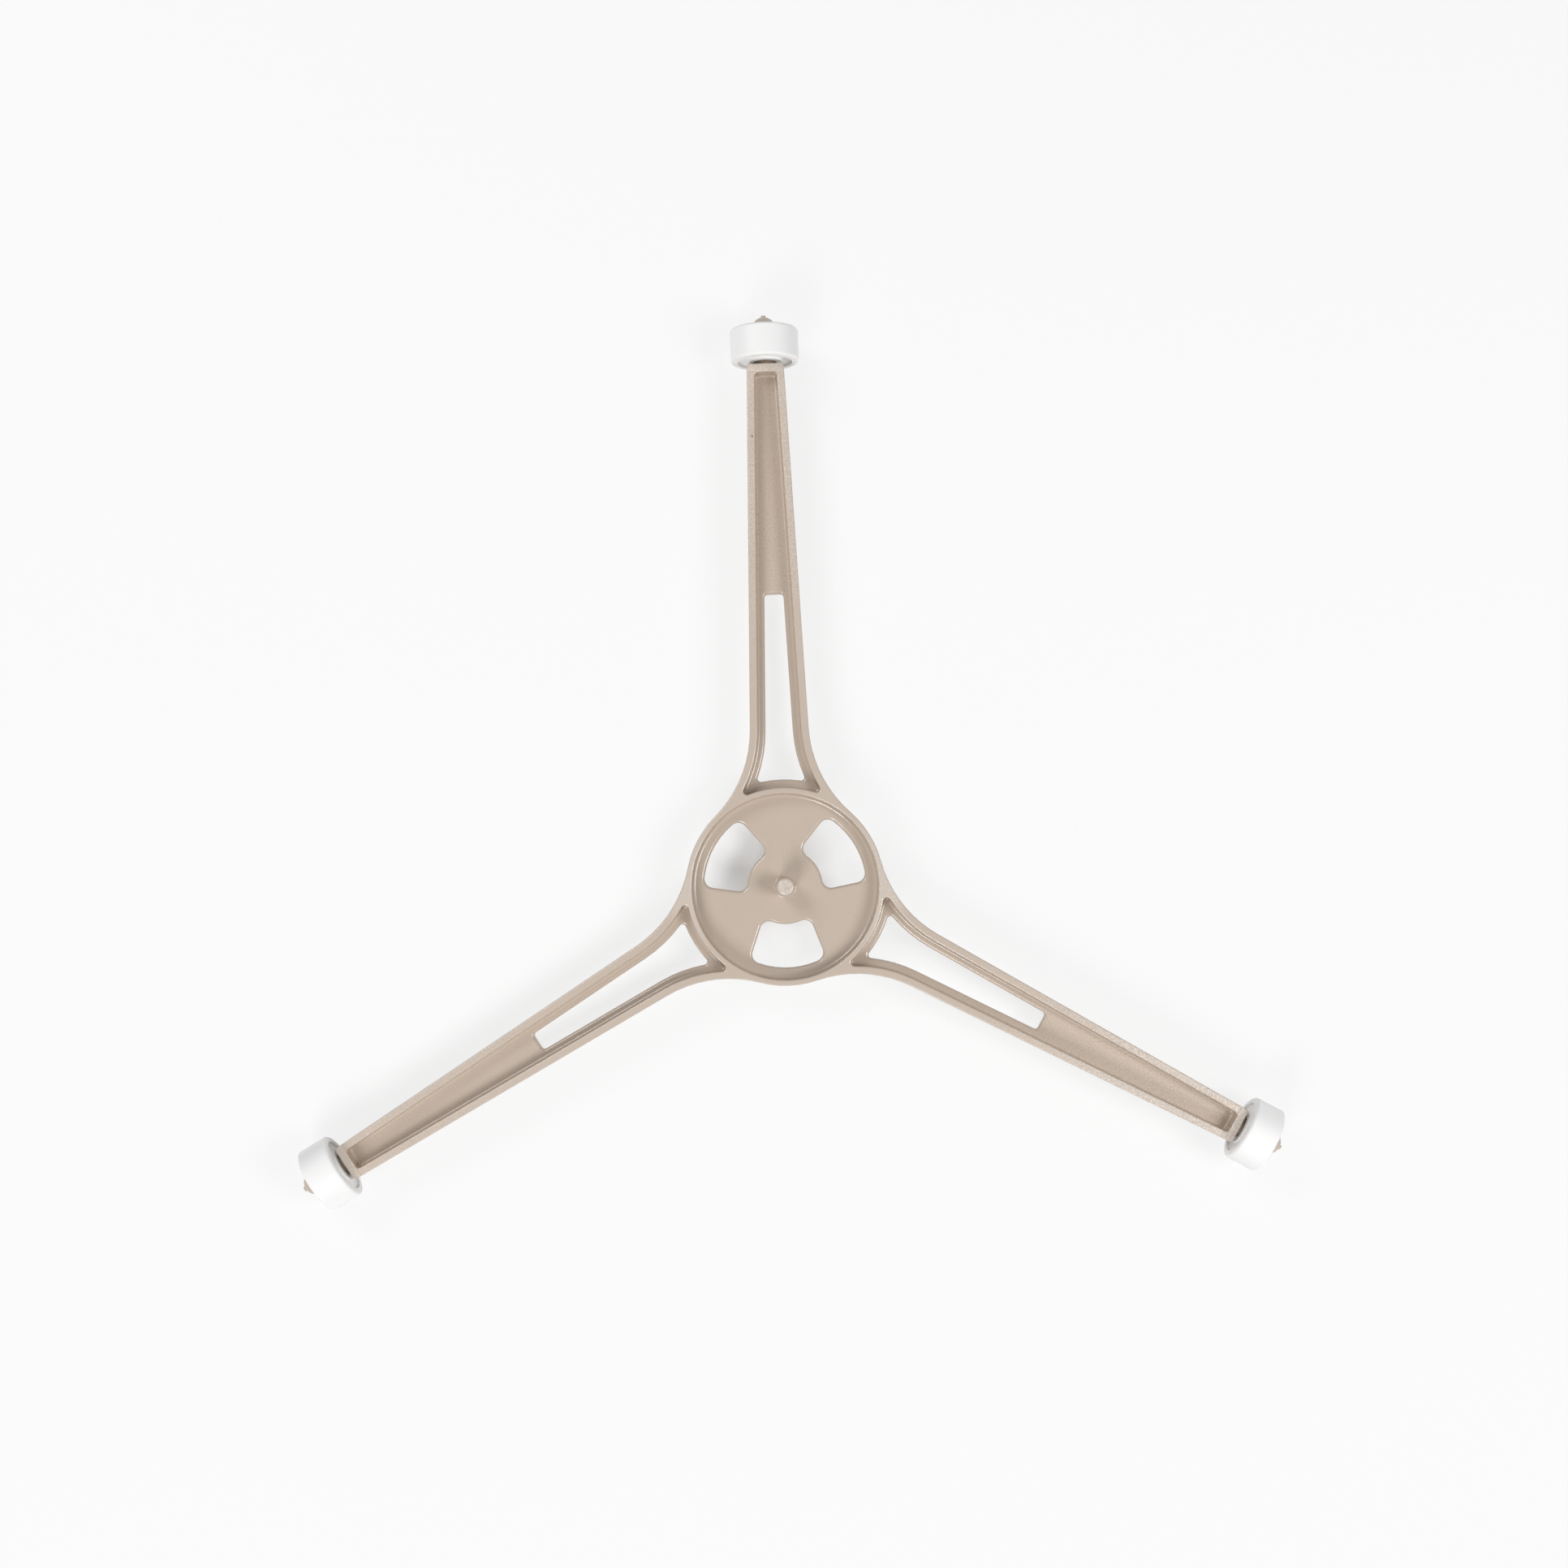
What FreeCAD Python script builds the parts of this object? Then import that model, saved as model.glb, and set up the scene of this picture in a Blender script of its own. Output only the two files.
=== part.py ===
"""Three-armed roller ring that carries a microwave oven's glass tray.

One moulded carrier, a round dished hub with three channel-section arms, has a stub axle at each arm's end.
A roller wheel is snapped on each axle and turns freely.

The frame: the hub's axis is Z, and Z is up. The origin is on that axis, on the dish floor at the pin's foot.
Arm 1 points along +Y. Lengths are in millimetres and angles in degrees.
"""

import FreeCAD, Part
import enum
import math
import os

import Sketcher

ARM_COUNT = 3

# The driving dimensions: alias, value and meaning
SIZES = [
    ("wheel_diameter", 14.0, "tread diameter"),
    ("wheel_width", 6.6, "wheel width along its axle, over the hub faces"),
    ("wheel_edge_radius", 0.6, "rounding of the tread's two edges"),
    ("wheel_boss_radius", 3.6, "raised hub face around the bore"),
    ("wheel_rim_wall", 1.4, "raised ring under the tread, beside the face recess"),
    ("wheel_recess_depth", 0.5, "depth of the ring-shaped recess in each wheel face"),
    ("wheel_bore_chamfer", 0.3, "lead-in at both ends of the bore"),
    ("wheel_axial_play", 0.1, "gap between each wheel face and what stops it"),
    ("axle_radius", 2.0, "shaft that the wheel turns on"),
    ("axle_running_clearance", 0.08, "radial gap between the shaft and the bore"),
    ("axle_shoulder_radius", 2.42, "shoulder between the arm's end and the wheel"),
    ("axle_shoulder_length", 0.6, "length of that shoulder"),
    ("axle_head_radius", 2.33, "snap head that keeps the wheel on"),
    ("axle_head_lead", 0.35, "back slope from the shaft to the head"),
    ("axle_head_length", 0.55, "straight part of the head"),
    ("axle_dome_radius", 2.5, "rounded end of the head"),
    ("axle_pip_radius", 0.5, "gate mark on the rounded end"),
    ("axle_pip_length", 0.33, "how far that gate mark stands out"),
    ("hub_radius", 20.4, "outside of the hub's ring wall"),
    ("hub_wall", 1.2, "thickness of the hub's ring wall"),
    ("dish_fillet_radius", 0.9, "fillet between the ring wall and the dish floor"),
    ("frame_height", 5.3, "height of the carrier's walls, middle at the axles"),
    ("web_thickness", 2.2, "floor of the hub's dish and of the arms' channels"),
    ("rim_width", 1.6, "thickness of the arms' side walls"),
    ("arm_reach", 106.8, "hub axis to the outer face of the arm's end"),
    ("arm_tip_width", 7.54, "arm's full width at its end"),
    ("arm_taper", 1.753, "slope of each arm side against the arm's middle line"),
    ("arm_flare_radius", 25.2, "hollow curve from the arm's side to the hub"),
    ("arm_corner_radius", 0.9, "upright corners at the arm's end"),
    ("end_wall", 1.75, "wall at the arm's end, which carries the axle"),
    ("end_cap_rise", 0.15, "how far the end wall stands above the side walls"),
    ("end_cap_inset", 0.12, "how far the end wall's top is set in from the arm's outline"),
    ("end_cap_root", 0.5, "depth at which the end wall's top joins the wall"),
    ("end_cap_edge_radius", 0.1, "rounding of the end wall's top edges"),
    ("channel_corner_radius", 0.75, "upright corners inside the channels"),
    ("slot_ledge", 1.65, "floor left between the channel's sides and the slot"),
    ("slot_root_ledge", 1.8, "floor left between the hub's wall and the slot"),
    ("slot_end_radius", 60.4, "hub axis to the slot's outer end"),
    ("slot_corner_radius", 0.7, "upright corners of the slot"),
    ("window_inner_radius", 7.8, "hub axis to the hub windows' inner edges"),
    ("window_margin", 2.4, "floor left between the windows and the ring wall"),
    ("window_side_offset", 2.43, "half width that the window's sides would have at the hub axis"),
    ("window_side_slope", 20.0, "slope of each window side against the window's middle line"),
    ("window_corner_radius", 1.9, "upright corners of the windows"),
    ("pin_radius", 2.0, "pivot pin in the middle of the dish"),
    ("pin_height", 5.6, "pin's height above the dish floor"),
    ("pin_top_radius", 0.85, "rounding of the pin's top edge"),
    ("pin_foot_radius", 0.4, "fillet at the pin's foot"),
    ("rim_edge_radius", 0.35, "rounding of the walls' top edges"),
    ("floor_fillet_radius", 0.6, "fillet between the arms' walls and the floor"),
    ("opening_edge_radius", 0.65, "rounding of the slots' and windows' top edges"),
    ("under_edge_radius", 0.3, "rounding of the outline's lower edges"),
]

# Heights above the dish floor, as expressions on the sheet
DISH_FLOOR = "0"
FRAME_BOTTOM = "(-sizes.web_thickness)"
FRAME_TOP = "(sizes.frame_height - sizes.web_thickness)"
AXLE_HEIGHT = "(sizes.frame_height / 2 - sizes.web_thickness)"
CAP_TOP = f"({FRAME_TOP} + sizes.end_cap_rise)"

# Places along the arm, from the hub axis
CHANNEL_END = "(sizes.arm_reach - sizes.end_wall)"
CAP_END = "(sizes.arm_reach - sizes.end_cap_inset)"
SHOULDER_FACE = "(sizes.arm_reach + sizes.axle_shoulder_length)"
WHEEL_INNER_FACE = f"({SHOULDER_FACE} + sizes.wheel_axial_play)"
WHEEL_OUTER_FACE = f"({WHEEL_INNER_FACE} + sizes.wheel_width)"
HEAD_START = f"({WHEEL_OUTER_FACE} + sizes.wheel_axial_play)"
HEAD_FULL = f"({HEAD_START} + sizes.axle_head_lead)"
DOME_START = f"({HEAD_FULL} + sizes.axle_head_length)"

# Radii about the hub axis, and about the axle
DISH_RADIUS = "(sizes.hub_radius - sizes.hub_wall)"
SLOT_ROOT = "(sizes.hub_radius + sizes.slot_root_ledge)"
SLOT_INSET = "(sizes.rim_width + sizes.slot_ledge)"
WINDOW_OUTER = f"({DISH_RADIUS} - sizes.window_margin)"
WHEEL_RADIUS = "(sizes.wheel_diameter / 2)"
BORE_RADIUS = "(sizes.axle_radius + sizes.axle_running_clearance)"

# Slopes of the arm's left and right sides
LEFT_SLOPE = "(90 - sizes.arm_taper) * 1 deg"
RIGHT_SLOPE = "(sizes.arm_taper - 90) * 1 deg"


class SketchPoint(enum.IntEnum):
    """Points on a sketch's geometry, as the sketcher numbers them."""

    START = 1
    END = 2
    CENTRE = 3


class SketchAxis(enum.IntEnum):
    """A sketch's own axes, as the sketcher numbers them."""

    LEVEL = -1
    UPRIGHT = -2


START, END, CENTRE = SketchPoint
LEVEL_AXIS, UPRIGHT_AXIS = SketchAxis
ORIGIN = (LEVEL_AXIS, START)

# How near a height, radius or direction has to be to count as the same
PLACE_TOLERANCE = 1e-4
SHARP_COSINE = math.cos(math.radians(8))

document = FreeCAD.newDocument("roller_ring")
sheet = document.addObject("Spreadsheet::Sheet", "sizes")


# The sheet

def fill_sheet():
    """Writes each driving dimension to its own cell, with its alias."""
    for row, (alias, value, meaning) in enumerate(SIZES, start=1):
        sheet.set(f"A{row}", alias)
        sheet.set(f"B{row}", str(value))
        sheet.set(f"C{row}", meaning)
        sheet.setAlias(f"B{row}", alias)
    document.recompute()


def size(alias):
    """A driving dimension's value in the sheet."""
    return float(sheet.get(alias))


def value_of(expression):
    """The number that an expression on the sheet gives now."""
    return float(sheet.evalExpression(expression.replace("sizes.", "")))


# Sketches

def origin_part(body, role):
    """One of a body's own origin planes or axes."""
    return next(part for part in body.Origin.OriginFeatures if part.Role == role)


def new_sketch(body, name, height, plane="XY_Plane"):
    """A sketch on one of the body's origin planes, at a height along Z."""
    sketch = body.newObject("Sketcher::SketchObject", name)
    sketch.AttachmentSupport = [(origin_part(body, plane), "")]
    sketch.MapMode = "FlatFace"
    lift = "z" if plane == "XY_Plane" else "y"
    sketch.setExpression(f".AttachmentOffset.Base.{lift}", height)
    document.recompute()
    return sketch


def bind(sketch, constraint, expression):
    """Adds a constraint whose value follows the sheet."""
    index = sketch.addConstraint(constraint)
    sketch.setExpression(f"Constraints[{index}]", expression)


def arc_between(centre, radius, first, last):
    """The arc about a centre that runs anticlockwise from one point's direction to another's."""
    circle = Part.Circle(FreeCAD.Vector(*centre, 0), FreeCAD.Vector(0, 0, 1), radius)
    angles = [math.atan2(point[1] - centre[1], point[0] - centre[0]) for point in (first, last)]
    return Part.ArcOfCircle(circle, *angles)


def line_between(first, last):
    return Part.LineSegment(FreeCAD.Vector(*first, 0), FreeCAD.Vector(*last, 0))


def mirrored(point):
    return (-point[0], point[1])


def draw_circle(sketch, radius):
    """A circle about the sketch's origin."""
    now = value_of(radius)
    circle = sketch.addGeometry(Part.Circle(FreeCAD.Vector(), FreeCAD.Vector(0, 0, 1), now))
    sketch.addConstraint(Sketcher.Constraint("Coincident", circle, CENTRE, *ORIGIN))
    bind(sketch, Sketcher.Constraint("Radius", circle, now), radius)
    document.recompute()


def draw_polygon(sketch, corners):
    """A closed polygon whose corners are pairs of expressions."""
    now = [(value_of(along), value_of(aside)) for along, aside in corners]
    lines = [sketch.addGeometry(line_between(now[k], now[(k + 1) % len(now)])) for k in range(len(now))]
    for k, line in enumerate(lines):
        sketch.addConstraint(Sketcher.Constraint("Coincident", lines[k - 1], END, line, START))
        bind(sketch, Sketcher.Constraint("DistanceX", *ORIGIN, line, START, now[k][0]), corners[k][0])
        bind(sketch, Sketcher.Constraint("DistanceY", *ORIGIN, line, START, now[k][1]), corners[k][1])
    document.recompute()


def flare_centre():
    """Middle of the hollow curve on the arm's +X side: it touches the arm's side and the hub's outside."""
    taper = math.radians(size("arm_taper"))
    flare = size("arm_flare_radius")
    outward = (math.cos(taper), math.sin(taper))
    inward_run = (math.sin(taper), -math.cos(taper))
    tip = (size("arm_tip_width") / 2, size("arm_reach"))
    lifted = (tip[0] + flare * outward[0], tip[1] + flare * outward[1])
    along = lifted[0] * inward_run[0] + lifted[1] * inward_run[1]
    beyond = lifted[0] ** 2 + lifted[1] ** 2 - (size("hub_radius") + flare) ** 2
    run = -along - math.sqrt(along**2 - beyond)
    return (lifted[0] + run * inward_run[0], lifted[1] + run * inward_run[1])


def crossing_near_arm(centre, radius, root_radius):
    """Where the circle about centre meets the circle about the hub axis, on the arm's side."""
    reach = math.hypot(*centre)
    along = (root_radius**2 - radius**2 + reach**2) / (2 * reach)
    aside = math.sqrt(max(root_radius**2 - along**2, 0))
    unit = (centre[0] / reach, centre[1] / reach)
    return (along * unit[0] - aside * unit[1], along * unit[1] + aside * unit[0])


def arm_half_width(inset, place):
    """Half the width between the arm's sides, each set in by inset, at a place along the arm."""
    slope = "sizes.arm_taper * 1 deg"
    widening = f"(sizes.arm_reach - {place}) * tan({slope})"
    return f"(sizes.arm_tip_width / 2 + {widening} - {inset} / cos({slope}))"


def draw_arm(sketch, inset, end_radius, root_radius, joins_hub=False):
    """The arm's outline, set in evenly from its true edge, with its root on a circle about the hub axis.

    joins_hub takes in the whole hub disc, whose circle the flares touch. Otherwise the root is the circle's
    arc across the arm, and the flares follow the outer ones at the same distance all along.
    """
    taper = math.radians(size("arm_taper"))
    inset_now = value_of(inset)
    end_now = value_of(end_radius)
    root_now = value_of(root_radius)
    half_width = arm_half_width(inset, end_radius)
    centre = flare_centre()
    flare_now = size("arm_flare_radius") + inset_now
    tip = (value_of(half_width), end_now)
    touch = (centre[0] - flare_now * math.cos(taper), centre[1] - flare_now * math.sin(taper))
    if joins_hub:
        share = root_now / math.hypot(*centre)
        root = (centre[0] * share, centre[1] * share)
    else:
        root = crossing_near_arm(centre, flare_now, root_now)

    end_line = sketch.addGeometry(line_between(mirrored(tip), tip))
    right_side = sketch.addGeometry(line_between(tip, touch))
    left_side = sketch.addGeometry(line_between(mirrored(touch), mirrored(tip)))
    right_flare = sketch.addGeometry(arc_between(centre, flare_now, touch, root))
    left_flare = sketch.addGeometry(arc_between(mirrored(centre), flare_now, mirrored(root), mirrored(touch)))
    first, last = (mirrored(root), root) if joins_hub else (root, mirrored(root))
    root_arc = sketch.addGeometry(arc_between((0, 0), root_now, first, last))
    right_root, left_root = (END, START) if joins_hub else (START, END)

    sketch.addConstraint([
        Sketcher.Constraint("Coincident", end_line, END, right_side, START),
        Sketcher.Constraint("Coincident", left_side, END, end_line, START),
        Sketcher.Constraint("Symmetric", end_line, START, end_line, END, UPRIGHT_AXIS),
        Sketcher.Constraint("Tangent", right_side, END, right_flare, START),
        Sketcher.Constraint("Tangent", left_side, START, left_flare, END),
        Sketcher.Constraint("Coincident", root_arc, CENTRE, *ORIGIN),
        Sketcher.Constraint("Equal", right_flare, left_flare),
    ])
    if joins_hub:
        sketch.addConstraint(Sketcher.Constraint("Tangent", right_flare, END, root_arc, right_root))
        sketch.addConstraint(Sketcher.Constraint("Tangent", left_flare, START, root_arc, left_root))
    else:
        guide_now = size("hub_radius") - inset_now
        guide = sketch.addGeometry(Part.Circle(FreeCAD.Vector(), FreeCAD.Vector(0, 0, 1), guide_now), True)
        sketch.addConstraint(Sketcher.Constraint("Coincident", guide, CENTRE, *ORIGIN))
        bind(sketch, Sketcher.Constraint("Radius", guide, guide_now), f"sizes.hub_radius - {inset}")
        sketch.addConstraint([
            Sketcher.Constraint("Tangent", right_flare, guide),
            Sketcher.Constraint("Tangent", left_flare, guide),
            Sketcher.Constraint("Coincident", right_flare, END, root_arc, right_root),
            Sketcher.Constraint("Coincident", left_flare, START, root_arc, left_root),
        ])
    width = Sketcher.Constraint("DistanceX", end_line, START, end_line, END, 2 * tip[0])
    bind(sketch, width, f"2 * {half_width}")
    bind(sketch, Sketcher.Constraint("DistanceY", *ORIGIN, end_line, START, end_now), end_radius)
    bind(sketch, Sketcher.Constraint("Angle", left_side, math.pi / 2 - taper), LEFT_SLOPE)
    bind(sketch, Sketcher.Constraint("Angle", right_side, taper - math.pi / 2), RIGHT_SLOPE)
    bind(sketch, Sketcher.Constraint("Radius", right_flare, flare_now), f"sizes.arm_flare_radius + {inset}")
    bind(sketch, Sketcher.Constraint("Radius", root_arc, root_now), root_radius)
    document.recompute()


def draw_end_cap(sketch):
    """Outline of the end wall's top: just inside the arm's outline, with the same rounded corners."""
    taper = math.radians(size("arm_taper"))
    half_width = arm_half_width("sizes.end_cap_inset", CHANNEL_END)
    rounding = "(sizes.arm_corner_radius - sizes.end_cap_inset)"
    half_now = value_of(half_width)
    root_now = value_of(CHANNEL_END)
    end_now = value_of(CAP_END)
    round_now = value_of(rounding)
    drop = end_now - round_now
    aside = half_now - (drop - root_now) * math.tan(taper) - round_now / math.cos(taper)
    centre = (aside, drop)
    touch = (aside + round_now * math.cos(taper), drop + round_now * math.sin(taper))
    top = (aside, end_now)
    root = (half_now, root_now)

    root_line = sketch.addGeometry(line_between(mirrored(root), root))
    right_side = sketch.addGeometry(line_between(root, touch))
    right_arc = sketch.addGeometry(arc_between(centre, round_now, touch, top))
    end_line = sketch.addGeometry(line_between(top, mirrored(top)))
    left_arc = sketch.addGeometry(arc_between(mirrored(centre), round_now, mirrored(top), mirrored(touch)))
    left_side = sketch.addGeometry(line_between(mirrored(touch), mirrored(root)))
    sketch.addConstraint([
        Sketcher.Constraint("Coincident", root_line, END, right_side, START),
        Sketcher.Constraint("Coincident", left_side, END, root_line, START),
        Sketcher.Constraint("Symmetric", root_line, START, root_line, END, UPRIGHT_AXIS),
        Sketcher.Constraint("Tangent", right_side, END, right_arc, START),
        Sketcher.Constraint("Tangent", right_arc, END, end_line, START),
        Sketcher.Constraint("Tangent", end_line, END, left_arc, START),
        Sketcher.Constraint("Tangent", left_arc, END, left_side, START),
        Sketcher.Constraint("Equal", right_arc, left_arc),
        Sketcher.Constraint("Horizontal", end_line),
    ])
    width = Sketcher.Constraint("DistanceX", root_line, START, root_line, END, 2 * half_now)
    bind(sketch, width, f"2 * {half_width}")
    bind(sketch, Sketcher.Constraint("DistanceY", *ORIGIN, root_line, START, root_now), CHANNEL_END)
    bind(sketch, Sketcher.Constraint("DistanceY", *ORIGIN, end_line, START, end_now), CAP_END)
    rising = "(90 + sizes.arm_taper) * 1 deg"
    falling = "(-90 - sizes.arm_taper) * 1 deg"
    bind(sketch, Sketcher.Constraint("Angle", right_side, math.pi / 2 + taper), rising)
    bind(sketch, Sketcher.Constraint("Angle", left_side, -math.pi / 2 - taper), falling)
    bind(sketch, Sketcher.Constraint("Radius", right_arc, round_now), rounding)
    document.recompute()


def draw_window(sketch):
    """One hub window, opposite arm 1: two arcs about the hub axis and two straight, slanted sides."""
    slope = math.radians(size("window_side_slope"))
    offset = size("window_side_offset")
    inner_now = size("window_inner_radius")
    outer_now = value_of(WINDOW_OUTER)
    clear = offset * math.cos(slope)

    def corner(radius):
        """Where the +X side meets the circle of this radius."""
        run = math.sqrt(radius**2 - clear**2)
        away = run * math.cos(slope) - clear * math.sin(slope)
        return (offset + away * math.tan(slope), -away)

    near = corner(inner_now)
    far = corner(outer_now)
    inner = sketch.addGeometry(arc_between((0, 0), inner_now, mirrored(near), near))
    outer = sketch.addGeometry(arc_between((0, 0), outer_now, mirrored(far), far))
    right = sketch.addGeometry(line_between(near, far))
    left = sketch.addGeometry(line_between(mirrored(far), mirrored(near)))
    sketch.addConstraint([
        Sketcher.Constraint("Coincident", inner, CENTRE, *ORIGIN),
        Sketcher.Constraint("Coincident", outer, CENTRE, *ORIGIN),
        Sketcher.Constraint("Coincident", inner, END, right, START),
        Sketcher.Constraint("Coincident", right, END, outer, END),
        Sketcher.Constraint("Coincident", outer, START, left, START),
        Sketcher.Constraint("Coincident", left, END, inner, START),
    ])
    bind(sketch, Sketcher.Constraint("Radius", inner, inner_now), "sizes.window_inner_radius")
    bind(sketch, Sketcher.Constraint("Radius", outer, outer_now), WINDOW_OUTER)
    falling = "(sizes.window_side_slope - 90) * 1 deg"
    rising = "(90 - sizes.window_side_slope) * 1 deg"
    bind(sketch, Sketcher.Constraint("Angle", right, slope - math.pi / 2), falling)
    bind(sketch, Sketcher.Constraint("Angle", left, math.pi / 2 - slope), rising)
    clearance = "sizes.window_side_offset * cos(sizes.window_side_slope * 1 deg)"
    for side in (right, left):
        bind(sketch, Sketcher.Constraint("Distance", *ORIGIN, side, clear), clearance)
    document.recompute()


def draw_axle(sketch):
    """Half the axle's section, above its axis: shoulder, shaft, snap head, rounded end and gate mark."""
    root = f"({CHANNEL_END} + sizes.end_wall / 2)"
    steps = [
        (root, "sizes.axle_shoulder_radius"),
        (SHOULDER_FACE, "sizes.axle_shoulder_radius"),
        (SHOULDER_FACE, "sizes.axle_radius"),
        (HEAD_START, "sizes.axle_radius"),
        (HEAD_FULL, "sizes.axle_head_radius"),
        (DOME_START, "sizes.axle_head_radius"),
    ]
    now = [(value_of(along), value_of(aside)) for along, aside in steps]
    dome = size("axle_dome_radius")
    pip = size("axle_pip_radius")
    pip_length = size("axle_pip_length")
    centre = (now[-1][0] - math.sqrt(dome**2 - now[-1][1] ** 2), 0)
    dome_end = (centre[0] + math.sqrt(dome**2 - pip**2), pip)
    pip_end = (dome_end[0] + pip_length, pip)
    foot = (now[0][0], 0)

    first = sketch.addGeometry(line_between(foot, now[0]))
    chain = [first] + [sketch.addGeometry(line_between(now[k], now[k + 1])) for k in range(len(now) - 1)]
    arc = sketch.addGeometry(arc_between(centre, dome, dome_end, now[-1]))
    pip_side = sketch.addGeometry(line_between(dome_end, pip_end))
    pip_face = sketch.addGeometry(line_between(pip_end, (pip_end[0], 0)))
    axis = sketch.addGeometry(line_between((pip_end[0], 0), foot))

    for k, (along, aside) in enumerate(steps):
        bind(sketch, Sketcher.Constraint("DistanceX", *ORIGIN, chain[k], END, now[k][0]), along)
        bind(sketch, Sketcher.Constraint("DistanceY", *ORIGIN, chain[k], END, now[k][1]), aside)
        if k > 0:
            sketch.addConstraint(Sketcher.Constraint("Coincident", chain[k - 1], END, chain[k], START))
    sketch.addConstraint([
        Sketcher.Constraint("Coincident", chain[-1], END, arc, END),
        Sketcher.Constraint("Coincident", arc, START, pip_side, START),
        Sketcher.Constraint("Coincident", pip_side, END, pip_face, START),
        Sketcher.Constraint("Coincident", pip_face, END, axis, START),
        Sketcher.Constraint("Coincident", axis, END, first, START),
        Sketcher.Constraint("PointOnObject", arc, CENTRE, LEVEL_AXIS),
        Sketcher.Constraint("PointOnObject", axis, START, LEVEL_AXIS),
        Sketcher.Constraint("PointOnObject", axis, END, LEVEL_AXIS),
        Sketcher.Constraint("Vertical", first),
        Sketcher.Constraint("Horizontal", pip_side),
        Sketcher.Constraint("Vertical", pip_face),
    ])
    bind(sketch, Sketcher.Constraint("Radius", arc, dome), "sizes.axle_dome_radius")
    bind(sketch, Sketcher.Constraint("DistanceY", *ORIGIN, pip_side, START, pip), "sizes.axle_pip_radius")
    length = Sketcher.Constraint("DistanceX", pip_side, START, pip_side, END, pip_length)
    bind(sketch, length, "sizes.axle_pip_length")
    document.recompute()


def draw_wheel(sketch):
    """Half the wheel's section, above its axis: bore with lead-ins, recessed faces and tread."""
    ring = f"({WHEEL_RADIUS} - sizes.wheel_rim_wall)"
    mouth = f"({BORE_RADIUS} + sizes.wheel_bore_chamfer)"
    near_recess = f"({WHEEL_INNER_FACE} + sizes.wheel_recess_depth)"
    far_recess = f"({WHEEL_OUTER_FACE} - sizes.wheel_recess_depth)"
    draw_polygon(sketch, [
        (f"({WHEEL_INNER_FACE} + sizes.wheel_bore_chamfer)", BORE_RADIUS),
        (WHEEL_INNER_FACE, mouth),
        (WHEEL_INNER_FACE, "sizes.wheel_boss_radius"),
        (near_recess, "sizes.wheel_boss_radius"),
        (near_recess, ring),
        (WHEEL_INNER_FACE, ring),
        (WHEEL_INNER_FACE, WHEEL_RADIUS),
        (WHEEL_OUTER_FACE, WHEEL_RADIUS),
        (WHEEL_OUTER_FACE, ring),
        (far_recess, ring),
        (far_recess, "sizes.wheel_boss_radius"),
        (WHEEL_OUTER_FACE, "sizes.wheel_boss_radius"),
        (WHEEL_OUTER_FACE, mouth),
        (f"({WHEEL_OUTER_FACE} - sizes.wheel_bore_chamfer)", BORE_RADIUS),
    ])


# Features

def add_pad(body, name, sketch, length):
    pad = body.newObject("PartDesign::Pad", name)
    pad.Profile = sketch
    pad.setExpression("Length", length)
    body.Tip = pad
    document.recompute()
    return pad


def add_pocket(body, name, sketch, depth):
    """Cuts down from the sketch's plane."""
    before = body.Shape.Volume
    pocket = body.newObject("PartDesign::Pocket", name)
    pocket.Profile = sketch
    pocket.setExpression("Length", depth)
    body.Tip = pocket
    document.recompute()
    if not pocket.Shape.Volume < before:
        raise RuntimeError(f"{name} cuts nothing")
    return pocket


def add_revolution(body, name, sketch):
    """Turns the sketch about its own level axis."""
    turned = body.newObject("PartDesign::Revolution", name)
    turned.Profile = sketch
    turned.ReferenceAxis = (sketch, ["H_Axis"])
    turned.Angle = 360
    body.Tip = turned
    document.recompute()
    return turned


def add_pattern(body, name, features):
    """Repeats features about the hub axis, once for each arm."""
    pattern = body.newObject("PartDesign::PolarPattern", name)
    pattern.Originals = features
    pattern.Axis = (origin_part(body, "Z_Axis"), [""])
    pattern.Angle = 360
    pattern.Occurrences = ARM_COUNT
    body.Tip = pattern
    document.recompute()
    return pattern


def add_fillet(body, name, radius, chosen):
    """Rounds the edges of the body so far that the test chosen picks."""
    base = body.Tip
    shape = base.Shape
    names = [f"Edge{k}" for k, edge in enumerate(shape.Edges, start=1) if chosen(shape, edge)]
    if not names:
        raise RuntimeError(f"{name} finds no edges")
    fillet = body.newObject("PartDesign::Fillet", name)
    fillet.Base = (base, names)
    fillet.setExpression("Radius", f"sizes.{radius}")
    body.Tip = fillet
    document.recompute()
    if fillet.Shape.isNull() or not fillet.Shape.isValid():
        raise RuntimeError(f"{name} fails")


# Choosing edges by where they are

def same(first, second):
    return abs(first - second) < PLACE_TOLERANCE


def middle(edge):
    return edge.valueAt((edge.FirstParameter + edge.LastParameter) / 2)


def hub_distance(edge):
    """How far an edge's middle is from the hub axis."""
    point = middle(edge)
    return math.hypot(point.x, point.y)


def is_sharp(shape, edge):
    """Whether the two faces at an edge meet at a corner, not smoothly."""
    faces = shape.ancestorsOfType(edge, Part.Face)
    if len(faces) != 2:
        return False
    point = middle(edge)
    normals = [face.normalAt(*face.Surface.parameter(point)) for face in faces]
    return abs(normals[0].dot(normals[1])) < SHARP_COSINE


def spans(edge, low, high):
    return same(edge.BoundBox.ZMin, low) and same(edge.BoundBox.ZMax, high)


def upright_corners(low, high, distance_is=None):
    """Picks sharp edges that run between two heights, at hub distances that pass a test."""
    low_now = value_of(low)
    high_now = value_of(high)

    def chosen(shape, edge):
        if not spans(edge, low_now, high_now) or not is_sharp(shape, edge):
            return False
        return distance_is is None or distance_is(hub_distance(edge))

    return chosen


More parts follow.
